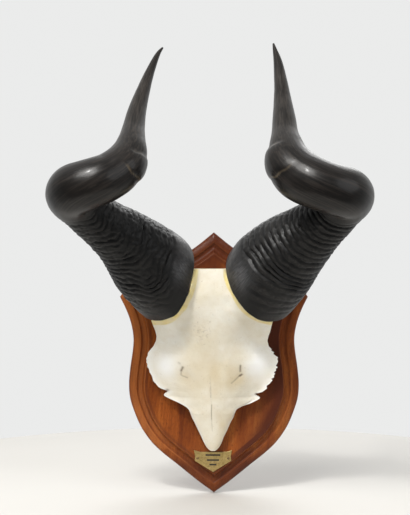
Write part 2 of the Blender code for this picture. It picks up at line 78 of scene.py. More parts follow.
# Moulding: inset from the edge, height above the back, and how much darker the wood is made there
MOULDING = [
    (0.9, 0, 0.3), (0.25, 0.3, 0.2), (0, 1, 0.1), (0, 6.4, 0), (0.25, 7.5, 0), (1.2, 8.8, 0),
    (2.5, 9.75, 0), (4, 10.5, 0), (5.7, 11.15, 0), (7.5, 11.6, 0), (8.8, 11.75, 0), (9.5, 11.65, 0.1),
    (10, 11.35, 0.4), (10.5, 11.05, 0.5), (11.4, 10.8, 0.3), (12.8, 10.75, 0.12), (14, 11, 0.1),
    (15.2, 11.7, 0.1), (16.2, 12.8, 0.15), (17, 14.1, 0.25), (17.5, 15.4, 0.3), (17.9, 16.5, 0.25),
    (18.2, 17.3, 0.1), (18.6, 17.8, 0.05), (19.2, 17.98, 0.35), (20.2, 18, 0.6), (21.6, 18, 0.5),
    (23.4, 18, 0),
]
# Insets of the moulding's arrises, which are worn and carry a painted highlight, and the inset where the flat
# field begins
WORN_LIT_ARRISES = (8.8, 18.2, 18.6)
FIELD_FROM = 18.3
# Points of the top and side runs: while they are offset, and in the finished rings
FINE_TOP, FINE_SIDE = 240, 420
TOP_POINTS, SIDE_POINTS = 90, 170

# Z of each section with its left and right edge, height at the rim, height at the middle
SECTIONS = [
    (108, -68, 64, 16, 60), (93, -73.2, 68.8, 24, 63), (77, -73.2, 67.8, 28, 64),
    (61.5, -72.1, 66.5, 27, 61), (55, -71.2, 65.9, 25.5, 58.8), (49.6, -70.2, 64.4, 24, 57),
    (44, -68.5, 63.2, 22.5, 55), (38.2, -66.4, 62.6, 21, 53), (32, -65.1, 60.8, 20, 51),
    (26.8, -65.7, 60, 19.5, 49.2), (19.9, -69, 62, 19, 46.9), (13.1, -74.7, 67.5, 18.5, 44.8),
    (6.3, -77, 71.4, 18, 42.7), (0, -76.3, 71.7, 17.6, 41), (-7.4, -74, 70.3, 17, 39),
    (-12, -71.7, 68.4, 16.6, 37.8), (-16.5, -70, 66.8, 16, 36.5), (-20, -68.3, 65.2, 15.6, 35.5),
    (-23.3, -66, 62.9, 15.2, 34.6), (-27, -62.5, 61.1, 14.6, 33.6), (-28.6, -60, 59.8, 14.4, 33.2),
    (-30.2, -54.6, 57.6, 14.2, 32.7), (-31.6, -51.9, 55.9, 14, 32.3), (-32.7, -53.8, 54, 13.8, 32),
    (-33.8, -55.2, 48, 13.5, 31.7), (-35.2, -57.6, 46.6, 13.2, 31.3), (-37, -56.4, 49.2, 12.8, 30.8),
    (-38.7, -53.2, 52.7, 12.6, 30.3), (-40.2, -50.2, 51.8, 12.4, 29.9), (-43.8, -41.6, 45.1, 12, 28.8),
    (-46.5, -35.9, 38.6, 12.2, 28.1), (-49, -31.6, 31, 12.5, 27.3), (-51.5, -28.9, 25.6, 12.5, 26.6),
    (-54.1, -27.8, 24.3, 12.5, 25.8), (-60.9, -25.6, 22.4, 12, 23.6), (-67.8, -21.9, 18.5, 11.5, 21.4),
    (-75.7, -18.3, 15.3, 10.8, 18.8), (-83.7, -14.5, 11.2, 10, 16), (-91.7, -11, 8.3, 9, 13),
    (-96, -8.6, 6, 8.3, 11.2), (-98.4, -6.2, 3.8, 7.9, 10.3), (-100.3, -3.4, 1, 7.4, 9),
]
ORBIT_X, ORBIT_Z, ORBIT_HALF = 63, -6, 27
RIM_THICKNESS = 3.6
STUB_RADIUS = 42
SKULL_ROWS, SKULL_POINTS, UNDER_POINTS = 330, 201, 31
SCRATCH_COUNT, PORE_COUNT = 46, 60
# Low swellings and hollows: X, Z, width, height
SWELLINGS = [
    (-34, -15, 8, -1.5), (28.5, -15, 8, -1.3), (-3.5, 18, 14, -0.8), (-54, -2, 11, 1.4), (49, -2, 11, 1.4),
]
# Stains of the bone: X, Z, width across and up, strength
STAINS = [
    (1, -16, 32, 26, 0.6), (-4, 20, 30, 24, 0.22), (-34, -14, 9, 9, 0.3), (27, -15, 9, 9, 0.3),
    (-12, 36, 16, 14, 0.16),
]
# How far the yellow collar of bone round each horn reaches, from the middle of its base
COLLAR = {"left": 52.6, "right": 50.6}
# Openings and cracks over the eyes, darkened with painted shade: X and Z of both ends, half width, depth
SLITS = [
    (-35.3, -2.8, -36.9, -6.6, 1.1, 1.5), (-37, -7, -37.4, -11, 0.8, 0.6),
    (-36.6, -12, -30.4, -14.2, 0.7, 0.5), (-39.8, 2.8, -38.6, 2, 1.1, 0.25),
    (29.4, -0.6, 29.2, -7, 1.05, 1.4), (30.6, -11.2, 28.8, -12.6, 1.1, 1.2),
    (28.8, -12.6, 19.4, -20.4, 0.75, 0.4),
]
# The notches below the eye sockets, where painted shadow lies: X and Z
NOTCHES = ((-53.2, -29.9), (48, -34.4))
# The seam between the nose bones and its faint run up the forehead, as the slits are given
SEAM = [
    (-4.6, -12, -4.2, -24, 0.35, 0.12), (-4.2, -24, -4, -36.5, 0.4, 0.45),
    (-4, -36.5, -2.9, -45, 0.3, 0.15), (-2.9, -45, -2.8, -62, 0.45, 0.6),
    (-2.8, -62, -2.2, -76, 0.35, 0.3),
]

# Stations of the horns: X, depth, Z, radius
LEFT_HORN = [
    (-54.3, 36, 95.6, 46.4), (-67, 50, 108.6, 46.2), (-80.9, 66, 124.4, 40.6), (-95.5, 82, 139.2, 34.4),
    (-111.7, 99, 151.8, 29.2), (-126.8, 114, 163.5, 26.4), (-140.9, 129, 176, 25),
    (-147, 143, 184.7, 26.6), (-143.2, 154, 189.2, 26.9), (-132.3, 161, 192.8, 26.2),
    (-119.1, 162, 197.3, 25.4), (-108.3, 158, 202.1, 24.5), (-95.3, 150, 211.8, 23.7),
    (-88.3, 141, 224.8, 20), (-86.3, 132, 239.1, 15.4), (-85, 119, 254.7, 12.4),
    (-82.1, 101, 277.6, 10.1), (-76.6, 85, 300.2, 7.9), (-70, 71, 322.9, 5.2), (-61.4, 58, 345.4, 2.4),
    (-56.6, 54, 352.5, 0.9),
]
RIGHT_HORN = [
    (50.4, 35, 91.6, 47.2), (63.6, 52, 108.8, 47.9), (77.8, 66, 125.3, 42.9), (93.5, 83, 139.6, 36.2),
    (108.5, 100, 153.1, 30.8), (122, 115, 165, 27.6), (131.4, 130, 175.8, 26.2),
    (137, 143, 183.7, 26.6), (131.6, 154, 186.6, 26.6), (119.6, 161, 188.9, 26.2),
    (102.3, 161, 195, 26.2), (84.8, 151, 204.8, 26.9), (75.6, 142, 217.2, 24.8), (73.6, 132, 233, 19.3),
    (73.1, 120, 248.6, 15), (73.2, 107, 266, 12.9), (72.6, 90, 289.4, 9.9), (71.5, 76, 312.9, 7.5),
    (69.1, 63, 336.6, 4.6), (66.7, 57, 348.5, 2.6), (64.9, 54, 357.2, 0.9),
]
HORNS = {"left": LEFT_HORN, "right": RIGHT_HORN}
BASE_LEAN = {"left": (0.29, -0.03), "right": (0.17, -0.03)}
KEEL = {"left": 0.13, "right": 0.11}
RINGS_FROM = 18
RINGS_END = RINGS_FROM + 13 * 10.6
RING_PITCH = 7.4
RING_CUT = {"left": 1.9, "right": 2.7}
# How crooked the rings are, how far they bend to the base in front, how uneven and cracked they are, and how
# much lighter their crests are made
RING_WILD = {"left": 1.15, "right": 0.3}
RING_BEND = {"left": 6, "right": 1.5}
RING_UNEVEN = {"left": 1.5, "right": 0.8}
CRACK_DEPTH = {"left": 0.62, "right": 0.3}
CREST_LIGHTENING = {"left": 0.45, "right": 1}
# How far the smooth skin of the base reaches up the inner side
BALD = {"left": 31, "right": 21}
SPINE_SOFTNESS = 19
SPINE_REACH = 60
KEEL_REACH, LEAN_REACH = 60, 30
HORN_SIDES = 150
# How much and how widely each of the two creases at the second bend is worn
CREASE_WEAR = (0.5, 0.22)
CREASE_WIDTH = (0.85, 1.6)
# The creases: distance along the horn at its inner edge, and the drop towards the front
CREASES = {"left": ((241.8, 9), (260, 10)), "right": ((250.5, 16), (273, 8))}

# Metalwork
PLATE_X = -1.2
PLATE_THICKNESS = 1
PLATE_HALF = [(15, -102.6), (21.9, -100.6), (20.4, -107.6), (20.9, -112.8), (0, -125.6)]
PIN_AT = {"left": PLATE_X - 17.6, "right": PLATE_X + 17.6}
PIN_Z, PIN_HOLE = -109.8, 0.95
# Plain engraved rules of the plate: left, right, Z
RULES = [(-8.6, 8.6, -106.2), (-7, 7, -112), (-4, 4, -117.2)]
HANGER_Z = 118
HANGER_WIDTH, HANGER_THICKNESS = 10, 1
HANGER_END, HANGER_BEND, HANGER_MIDDLE = 25, 17.5, 14.5
HANGER_SCREW_AT = {"left": -21.2, "right": 21.2}
HANGER_RECESS = 3.6
TOOTH_COUNT, TOOTH_PITCH, TOOTH_DEPTH = 8, 3, 1.8
SKULL_SCREW_AT = {"upper": 70, "lower": -20}


def lattice(ix, iy, iz, seed):
    h = (ix * 374761393 + iy * 668265263 + iz * 1103515245 + seed * 97531) & 0xFFFFFFFF
    h = ((h ^ (h >> 13)) * 1274126177) & 0xFFFFFFFF
    h = ((h ^ (h >> 16)) * 1597334677) & 0xFFFFFFFF
    return ((h ^ (h >> 15)) & 0xFFFFFF) / 0x7FFFFF - 1


def noise(points, size, seed):
    """Smooth noise from -1 to 1 at points (..., 3), with features of about the given size."""
    p = np.asarray(points, float) / size
    low = np.floor(p).astype(np.int64)
    f = p - low
    f = f * f * (3 - 2 * f)
    total = 0
    for corner in np.ndindex(2, 2, 2):
        w = np.where(corner, f, 1 - f)
        total += w[..., 0] * w[..., 1] * w[..., 2] * lattice(*np.moveaxis(low + corner, -1, 0), seed)
    return total


def layered(points, size, seed):
    return sum(noise(points, size / 2**k, seed + k) / 2**k for k in range(3))


def unit(v):
    return v / np.linalg.norm(v, axis=-1, keepdims=True)


def in_plane(x, z):
    return np.stack([x, z, np.zeros_like(x)], -1)


def bell(*parts):
    """A round bump, 1 at its middle; each part is a distance from there and the width of the bump."""
    return np.exp(-sum((away / width) ** 2 for away, width in parts))


def smoothstep(value, low, high):
    t = np.clip((value - low) / (high - low), 0, 1)
    return t * t * (3 - 2 * t)


def soften(values, steps):
    """A gaussian blur of a row of numbers, the ends running straight on."""
    if steps < 0.2:
        return values
    reach = int(4 * steps) + 1
    kernel = np.exp(-0.5 * (np.arange(-reach, reach + 1) / steps) ** 2)
    kernel /= kernel.sum()
    before = 2 * values[0] - values[reach:0:-1]
    after = 2 * values[-1] - values[-2 : -2 - reach : -1]
    return np.convolve(np.concatenate([before, values, after]), kernel, "valid")


def smooth_run(points, count):
    """Evenly spread points of a smooth curve through the given points, whatever they are made of."""
    p = np.array(points, float)
    ends = np.vstack([2 * p[0] - p[1], p, 2 * p[-1] - p[-2]])
    dims = min(3, p.shape[1])
    fine = []
    for i in range(1, len(ends) - 2):
        four = ends[i - 1 : i + 3]
        knots = [0]
        for a, b in zip(four, four[1:]):
            knots.append(knots[-1] + max(np.linalg.norm((b - a)[:dims]) ** 0.5, 1e-6))
        for t in np.linspace(knots[1], knots[2], CURVE_STEPS, endpoint=False):
            row = four
            for spans in (((0, 1), (1, 2), (2, 3)), ((0, 2), (1, 3)), ((1, 2),)):
                row = [
                    (knots[v] - t) / (knots[v] - knots[u]) * a + (t - knots[u]) / (knots[v] - knots[u]) * b
                    for (u, v), a, b in zip(spans, row, row[1:])
                ]
            fine.append(row[0])
    fine.append(p[-1])
    return spread(np.array(fine), count)


def spread(line, count):
    """Evenly spread points along a line of points."""
    dims = min(3, line.shape[1])
    steps = np.linalg.norm(np.diff(line[:, :dims], axis=0), axis=1)
    along = np.concatenate([[0], np.cumsum(steps)])
    at = np.linspace(0, along[-1], count)
    return np.stack([np.interp(at, along, line[:, k]) for k in range(line.shape[1])], 1)


def put(name, data):
    obj = bpy.data.objects.new(name, data)
    bpy.context.scene.collection.objects.link(obj)
    return obj


def from_bmesh(bm, name, material=None, sharp=35):
    bmesh.ops.recalc_face_normals(bm, faces=bm.faces)
    mesh = bpy.data.meshes.new(name)
    bm.to_mesh(mesh)
    bm.free()
    if material:
        mesh.materials.append(material)
    mesh.shade_smooth()
    mesh.set_sharp_from_angle(angle=math.radians(sharp))
    return put(name, mesh)


def skin(rings, name, material, tip=None, sharp=35):
    """A closed body through rings of points (rings, points, 3), flat or pointed at its far end."""
    rows, around = rings.shape[:2]
    verts = rings.reshape(-1, 3) * MM
    index = np.arange(rows * around).reshape(rows, around)
    near, far = index[:-1], index[1:]
    quads = np.stack([near, np.roll(near, -1, 1), np.roll(far, -1, 1), far], -1).reshape(-1, 4)
    faces = quads.tolist()
    faces.append(index[0][::-1].tolist())
    if tip is None:
        faces.append(index[-1].tolist())
    else:
        verts = np.vstack([verts, np.array(tip) * MM])
        last = index[-1]
        faces += [[int(a), int(b), rows * around] for a, b in zip(last, np.roll(last, -1))]
    rough = bpy.data.meshes.new("rough")
    rough.from_pydata(verts.tolist(), [], faces)
    bm = bmesh.new()
    bm.from_mesh(rough)
    bpy.data.meshes.remove(rough)
    return from_bmesh(bm, name, material, sharp)


def mark(obj, name, values):
    """Gives each vertex a value for its material; vertices past the given ones get the last."""
    values = np.asarray(values, np.float32)
    filled = np.concatenate([values, np.repeat(values[-1:], len(obj.data.vertices) - len(values), 0)])
    kind, key = ("FLOAT_VECTOR", "vector") if values.ndim == 2 else ("FLOAT", "value")
    obj.data.attributes.new(name, kind, "POINT").data.foreach_set(key, filled.ravel())


def lathe(profile, steps, origin, axis):
    """A turned body: radius and distance along the axis from the origin, in millimetres."""
    bm = bmesh.new()
    verts = [bm.verts.new((r * MM, 0, h * MM)) for r, h in profile]
    edges = [bm.edges.new(pair) for pair in zip(verts, verts[1:])]
    up = (0, 0, 1)
    bmesh.ops.spin(bm, geom=verts + edges, axis=up, cent=(0, 0, 0), angle=2 * math.pi, steps=steps)
    bmesh.ops.remove_doubles(bm, verts=bm.verts, dist=1e-6)
    turn = Vector(axis).to_track_quat("Z", "Y").to_matrix().to_4x4()
    bmesh.ops.transform(bm, matrix=Matrix.Translation(Vector(origin) * MM) @ turn, verts=bm.verts)
    return bm


def hole(radius, start, end, steps, origin, axis=FORWARD):
    """A cutter for a round hole between two distances along the axis from the origin."""
    profile = [(0, start), (radius, start), (radius, end), (0, end)]
    return from_bmesh(lathe(profile, steps, origin, axis), "hole")


def loop(bm, outline, height):
    return [bm.verts.new((x * MM, -height * MM, z * MM)) for x, z in outline]


def bridge(bm, a, b):
    for i in range(len(a)):
        j = (i + 1) % len(a)
        bm.faces.new((a[i], a[j], b[j], b[i]))


def slab(outline, front, back):
    """A plate with a straight edge, from an outline in X and Z."""
    bm = bmesh.new()
    ends = loop(bm, outline, back), loop(bm, outline, front)
    bridge(bm, *ends)
    bm.faces.new(ends[0])
    bm.faces.new(ends[1])
    return bm


def bar(left, right, low, high):
    return [(left, low), (right, low), (right, high), (left, high)]


def settle(obj):
    """Turns a piece's modifiers into its mesh."""
    depsgraph = bpy.context.evaluated_depsgraph_get()
    made = bpy.data.meshes.new_from_object(obj.evaluated_get(depsgraph))
    obj.modifiers.clear()
    obj.data = made


def carve(obj, cutters):
    """Cuts bodies out of a piece and removes them."""
    for cutter in cutters:
        modifier = obj.modifiers.new("cut", "BOOLEAN")
        modifier.operation = "DIFFERENCE"
        modifier.solver = "EXACT"
        modifier.object = cutter
    settle(obj)
    obj.data.set_sharp_from_angle(angle=math.radians(35))
    for cutter in cutters:
        bpy.data.objects.remove(cutter, do_unlink=True)


def soft_edges(obj, width, segments):
    modifier = obj.modifiers.new("edges", "BEVEL")
    modifier.width = width * MM
    modifier.segments = segments
    modifier.limit_method = "ANGLE"
    modifier.angle_limit = math.radians(40)
    modifier.harden_normals = False
    settle(obj)


def stands_for(obj, node):
    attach(obj, "root")
    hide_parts(node)


class Nodes:
    """Small chains of nodes for a material or the world."""

    def __init__(self, tree):
        self.tree = tree

    def node(self, kind, inputs=(), out=0, **settings):
        made = self.tree.nodes.new("ShaderNode" + kind)
        for key, value in settings.items():
            setattr(made, key, value)
        for key, value in dict(inputs).items():
            self.feed(made.inputs[key], value)
        return made.outputs[out]

    def feed(self, socket, value):
        if isinstance(value, bpy.types.NodeSocket):
            self.tree.links.new(value, socket)
        else:
            socket.default_value = value

    def place(self, scale=(1, 1, 1), turn=(0, 0, 0), source=None):
        """Coordinates in millimetres, scaled and turned."""
        if source is None:
            source = self.node("TexCoord", out="Object")
            source = self.node("Mapping", {"Vector": source, "Scale": (1000, 1000, 1000)})
        turned = self.node("Mapping", {"Vector": source, "Rotation": turn})
        return self.node("Mapping", {"Vector": turned, "Scale": scale})

    def value(self, name):
        return self.node("Attribute", out="Fac", attribute_name=name)

    def vector(self, name):
        return self.node("Attribute", out="Vector", attribute_name=name)

    def cloud(self, where, scale, detail=3, rough=0.55, twist=0):
        """Noise. A scale of three numbers stretches the given coordinates, or the object's own."""
        if isinstance(scale, tuple):
            where, scale = self.place(scale, source=where), 1
        given = {"Vector": where, "Scale": scale, "Detail": detail, "Roughness": rough, "Distortion": twist}
        return self.node("TexNoise", given)

    def ramp(self, value, *stops):
        made = self.tree.nodes.new("ShaderNodeValToRGB")
        elements = made.color_ramp.elements
        while len(elements) < len(stops):
            elements.new(0.5)
        for element, (position, colour) in zip(elements, stops):
            element.position = position
            if isinstance(colour, (int, float)):
                colour = (colour, colour, colour)
            element.color = (*colour, 1)
        self.tree.links.new(value, made.inputs[0])
        return made.outputs[0]

    def blend(self, amount, a, b):
        made = self.tree.nodes.new("ShaderNodeMix")
        made.data_type = "RGBA"
        self.feed(made.inputs[0], amount)
        for socket, value in ((made.inputs[6], a), (made.inputs[7], b)):
            self.feed(socket, (*value, 1) if isinstance(value, tuple) else value)
        return made.outputs[2]

    def math(self, operation, a, b=0, c=0):
        made = self.tree.nodes.new("ShaderNodeMath")
        made.operation = operation
        for socket, value in zip(made.inputs, (a, b, c)):
            self.feed(socket, value)
        return made.outputs[0]

    def times(self, a, b):
        return self.math("MULTIPLY", a, b)

    def bump(self, height, distance, strength=1, normal=None):
        given = {"Height": height, "Distance": distance * MM, "Strength": strength}
        if normal is not None:
            given["Normal"] = normal
        return self.node("Bump", given)


class Shader(Nodes):
    """A Principled material."""

    def __init__(self, name):
        self.material = bpy.data.materials.new(name)
        self.material.use_nodes = True
        super().__init__(self.material.node_tree)
        self.tree.nodes.clear()
        self.bsdf = self.tree.nodes.new("ShaderNodeBsdfPrincipled")
        output = self.tree.nodes.new("ShaderNodeOutputMaterial")
        self.feed(output.inputs[0], self.bsdf.outputs[0])

    def set(self, **inputs):
        for key, value in inputs.items():
            self.feed(self.bsdf.inputs[key.replace("_", " ")], value)

    def coat(self, amount, colour):
        """Lays a colour over the material's own."""
        self.colour = self.blend(amount, self.colour, colour)


def wood_material():
    s = Shader("mahogany")
    turned = s.place(turn=(0, math.radians(-5), 0))
    wander = s.cloud(turned, (0.02, 0.02, 0.006), 2)
    bent = s.node("VectorMath", {0: turned, 1: s.node("CombineXYZ", {"X": s.times(wander, 14)})})
    broad = s.cloud(bent, (0.07, 0.07, 0.011), 4, 0.6, 0.5)
    streak = s.cloud(bent, (0.55, 0.55, 0.012), 4, 0.6)
    fibre = s.cloud(bent, (2.4, 2.4, 0.05), 3, 0.6)
    pore = s.cloud(bent, (3, 3, 0.22), 1, 0.4)
    figure = s.math("ADD", s.times(broad, 0.74), s.times(streak, 0.26))
    darker = (0.33, (0.12, 0.026, 0.006)), (0.46, (0.235, 0.056, 0.0095))
    lighter = (0.55, (0.31, 0.08, 0.0135)), (0.68, (0.43, 0.135, 0.026))
    s.colour = s.ramp(figure, *darker, *lighter)
    s.coat(s.ramp(fibre, (0.3, 0.34), (0.52, 0)), (0.13, 0.036, 0.013))
    pores = s.ramp(pore, (0.34, 1), (0.41, 0))
    s.coat(s.times(pores, 0.62), (0.055, 0.016, 0.008))
    patch = s.cloud(None, (0.05, 0.05, 0.03), 3)
    # The moulding made darker at the insets its table gives
    moulding_darkening = s.times(s.value("cove"), s.ramp(patch, (0.3, 0.72), (0.7, 0.95)))
    s.coat(moulding_darkening, (0.088, 0.0235, 0.0115))
    # Lighter where the board's worn mark says: painted light on the left slopes, wear and a painted highlight
    # on the arrises
    s.coat(s.value("worn"), (0.47, 0.165, 0.05))
    # Painted shade: the field darker towards its right, where the skull's shadow falls, together with the
    # painted shade of the peak and right side and the darker tip
    x = s.node("SeparateXYZ", {"Vector": s.place()})
    across = s.ramp(s.math("MULTIPLY_ADD", x, 0.01, 0.5), (0.51, 0.08), (0.86, 0.93))
    shade = s.math("MAXIMUM", s.value("painted_shade_and_darkening"), s.times(s.value("field"), across))
    s.coat(shade, (0.07, 0.0175, 0.0095))
    rough = s.ramp(streak, (0.35, 0.4), (0.65, 0.3))
    bump = s.bump(s.math("SUBTRACT", s.times(fibre, 0.5), pores), 0.09, 0.6)
    bump = s.bump(broad, 0.5, 0.25, bump)
    s.set(Base_Color=s.colour, Roughness=rough, Normal=bump, Specular_IOR_Level=0.11)
    s.set(Coat_Weight=0.09, Coat_Roughness=0.16, Coat_IOR=1.5)
    return s.material


def bone_material():
    s = Shader("bone")
    at = s.place()
    large = s.cloud(at, 0.028, 4, 0.6)
    medium = s.cloud(at, 0.13, 4, 0.6)
    grain = s.cloud(s.place((1, 1, 0.45)), 1.1, 3, 0.6)
    tones = (0.34, (0.8, 0.74, 0.6)), (0.5, (0.84, 0.79, 0.67)), (0.66, (0.88, 0.85, 0.76))
    s.colour = s.ramp(large, *tones)
    s.coat(s.ramp(medium, (0.42, 0), (0.72, 0.26)), (0.7, 0.61, 0.44))
    # Painted highlight on the brows and lower edges
    s.coat(s.value("painted_highlight"), (0.97, 0.965, 0.94))
    s.coat(s.value("stain"), (0.64, 0.52, 0.32))
    speck = s.ramp(s.cloud(at, 0.62, 2, 0.6), (0.66, 0), (0.76, 0.42))
    s.coat(speck, (0.45, 0.33, 0.19))
    collar = s.ramp(medium, (0.35, (0.74, 0.58, 0.17)), (0.65, (0.86, 0.72, 0.3)))
    s.coat(s.value("burr"), collar)
    # Darker in seams and scratches; painted shade in the openings, cracks and notches
    s.coat(s.value("groove"), (0.24, 0.185, 0.13))
    cell = s.node("TexVoronoi", {"Vector": s.place((1, 1, 0.7)), "Scale": 0.62}, feature="F1")
    pits = s.ramp(cell, (0.05, 0), (0.26, 1))
    bump = s.bump(grain, 0.28, 0.5)
    bump = s.bump(pits, 0.1, 0.35, bump)
    bump = s.bump(medium, 0.8, 0.35, bump)
    s.set(Base_Color=s.colour, Roughness=s.ramp(medium, (0.3, 0.62), (0.7, 0.48)), Normal=bump)
    s.set(Subsurface_Weight=0.06, Subsurface_Radius=(1, 0.7, 0.45), Subsurface_Scale=0.002)
    s.set(Specular_IOR_Level=0.4)
    return s.material


def horn_material():
    """Ringed below with lighter crests, smooth above with fibres that run along the horn; a painted sheen lies
    on the upper horn and a painted highlight on the base.
    """
    s = Shader("horn")
    fibres = s.vector("fibre")
    long_fine = s.cloud(fibres, (0.022, 0.62, 0.62), 4, 0.65)
    long_broad = s.cloud(fibres, (0.012, 0.22, 0.22), 3, 0.55)
    blotch = s.cloud(s.place(), 0.035, 4, 0.6)
    smooth = s.value("smooth")
    dull = s.ramp(blotch, (0.35, (0.0036, 0.0035, 0.0035)), (0.65, (0.0078, 0.0075, 0.0072)))
    glossy = s.ramp(blotch, (0.35, (0.004, 0.0034, 0.003)), (0.65, (0.0095, 0.0077, 0.0065)))
    s.colour = s.blend(smooth, dull, glossy)
    streaks = s.times(smooth, s.ramp(long_fine, (0.47, 0), (0.62, 0.75)))
    s.coat(streaks, (0.027, 0.021, 0.0175))
    # Painted sheen: the upper horn lighter along its fibres, standing in for the room's reflection
    painted_sheen = s.times(s.value("painted_sheen"), s.ramp(long_fine, (0.38, 0.15), (0.6, 1)))
    s.coat(painted_sheen, (0.04, 0.034, 0.029))
    dark = s.times(smooth, s.ramp(long_broad, (0.3, 0.6), (0.5, 0)))
    s.coat(dark, (0.0075, 0.0062, 0.0055))
    # Pale scratches on the bald skin of the base, and a painted highlight on its inner side
    scratch = s.cloud(fibres, (0.1, 0.9, 0.9), 3, 0.6)
    scratches_and_painted_highlight = s.times(s.value("scratches_and_painted_highlight"), s.ramp(scratch, (0.34, 0.35), (0.62, 1)))
    s.coat(scratches_and_painted_highlight, (0.105, 0.106, 0.11))
    # The crests of the rings are made lighter
    crest_lightening = s.ramp(s.cloud(s.place(), 0.5, 3, 0.6), (0.38, 0.15), (0.62, 1))
    crest_lightening = s.times(s.value("crest"), crest_lightening)
    s.coat(s.times(crest_lightening, 0.5), (0.052, 0.047, 0.042))
    s.coat(s.value("scuff"), (0.24, 0.185, 0.12))
    grit = s.cloud(s.place(), 0.55, 4, 0.7)
    gritty, fibrous = s.ramp(grit, (0.3, 0.38), (0.7, 0.54)), s.ramp(long_fine, (0.35, 0.32), (0.65, 0.44))
    rough = s.blend(smooth, gritty, fibrous)
    bump = s.bump(grit, 0.16, s.math("SUBTRACT", 0.5, s.times(smooth, 0.44)))
    grain = s.times(smooth, s.math("MULTIPLY_ADD", s.value("painted_sheen"), -0.55, 0.5))
    bump = s.bump(long_fine, 0.2, grain, bump)
    s.set(Base_Color=s.colour, Roughness=rough, Normal=bump, Specular_IOR_Level=0.22)
    s.set(Coat_Weight=s.math("MULTIPLY_ADD", smooth, 0.17, 0.03), Coat_Roughness=0.17, Coat_IOR=1.5)
    return s.material


def metal_material(name, low, high, rough, tarnish):
    s = Shader(name)
    lines = s.cloud(s.place((0.06, 1, 1)), 2.6, 3, 0.6)
    patch = s.cloud(s.place(), 0.16, 4, 0.6)
    s.colour = s.ramp(patch, (0.35, low), (0.65, high))
    dull = s.ramp(s.cloud(s.place(), 0.45, 4, 0.65), (0.5, 0), (0.68, 0.75))
    s.coat(dull, tarnish)
    s.set(Base_Color=s.colour, Metallic=1, Roughness=s.ramp(patch, (0.3, rough - 0.07), (0.7, rough + 0.08)))
    s.set(Normal=s.bump(lines, 0.03, 0.5))
    return s.material


def wax_material():
    s = Shader("engraving wax")
    patch = s.cloud(s.place(), 0.8, 3, 0.6)
    s.set(Base_Color=s.ramp(patch, (0.35, (0.02, 0.013, 0.009)), (0.65, (0.05, 0.033, 0.021))))
    s.set(Roughness=s.ramp(patch, (0.3, 0.5), (0.7, 0.7)), Normal=s.bump(patch, 0.05, 0.5))
    return s.material


def floor_material():
    s = Shader("floor")
    patch = s.cloud(s.place(), 0.004, 3, 0.5)
    s.set(Base_Color=s.ramp(patch, (0.35, (0.6, 0.585, 0.555)), (0.65, (0.62, 0.605, 0.575))))
    s.set(Roughness=s.ramp(patch, (0.3, 0.62), (0.7, 0.72)))
    return s.material


def offset_run(run, width):
    ahead = unit(np.gradient(run, axis=0))
    return run + width * np.stack([ahead[:, 1], -ahead[:, 0]], 1)


def trim_at_middle(run, from_start):
    """Cuts a run where it crosses the middle line, from its start or its end."""
    line = run if from_start else run[::-1]
    inside = int(np.argmax(line[:, 0] > 0))
    a, b = line[max(inside, 1) - 1], line[max(inside, 1)]
    cross = a + (b - a) * (-a[0] / (b[0] - a[0]))
    cross[0] = 0
    line = np.vstack([cross, line[inside:]])
    return line if from_start else line[::-1]


def wedge(a, b):
    return a[0] * b[1] - a[1] * b[0]


def meeting(first, second):
    """Where the end of one run crosses the start of another."""
    for i in range(len(first) - 2, -1, -1):
        a, b = first[i], first[i + 1]
        for j in range(len(second) - 1):
            c, d = second[j], second[j + 1]
            r, s, q = b - a, d - c, c - a
            cross = wedge(r, s)
            if abs(cross) < 1e-12:
                continue
            t, u = wedge(q, s) / cross, wedge(q, r) / cross
            if -1e-6 <= t <= 1 + 1e-6 and -1e-6 <= u <= 1 + 1e-6:
                return i, j, a + t * r
    raise ValueError("the runs don't meet")


def board_rings():
    top = smooth_run([PEAK, *TOP_RUN, SHOULDER], FINE_TOP)
    side = smooth_run([SHOULDER, *SIDE_RUN, TIP], FINE_SIDE)
    rings = []
    for width, height, _ in MOULDING:
        a, b = offset_run(top, width), offset_run(side, width)
        if width > 0:
            i, j, corner = meeting(a, b)
            a, b = np.vstack([a[: i + 1], corner]), np.vstack([corner, b[j + 1 :]])
        a, b = trim_at_middle(a, True), trim_at_middle(b, False)
        a, b = spread(a, TOP_POINTS), spread(b, SIDE_POINTS)
        half = np.vstack([a, b[1:]])
        left = half[1:-1][::-1] * (-1, 1)
        outline = np.vstack([half, left])
        rings.append(np.stack([outline[:, 0], np.full(len(outline), -height), outline[:, 1]], 1))
    return np.array(rings)


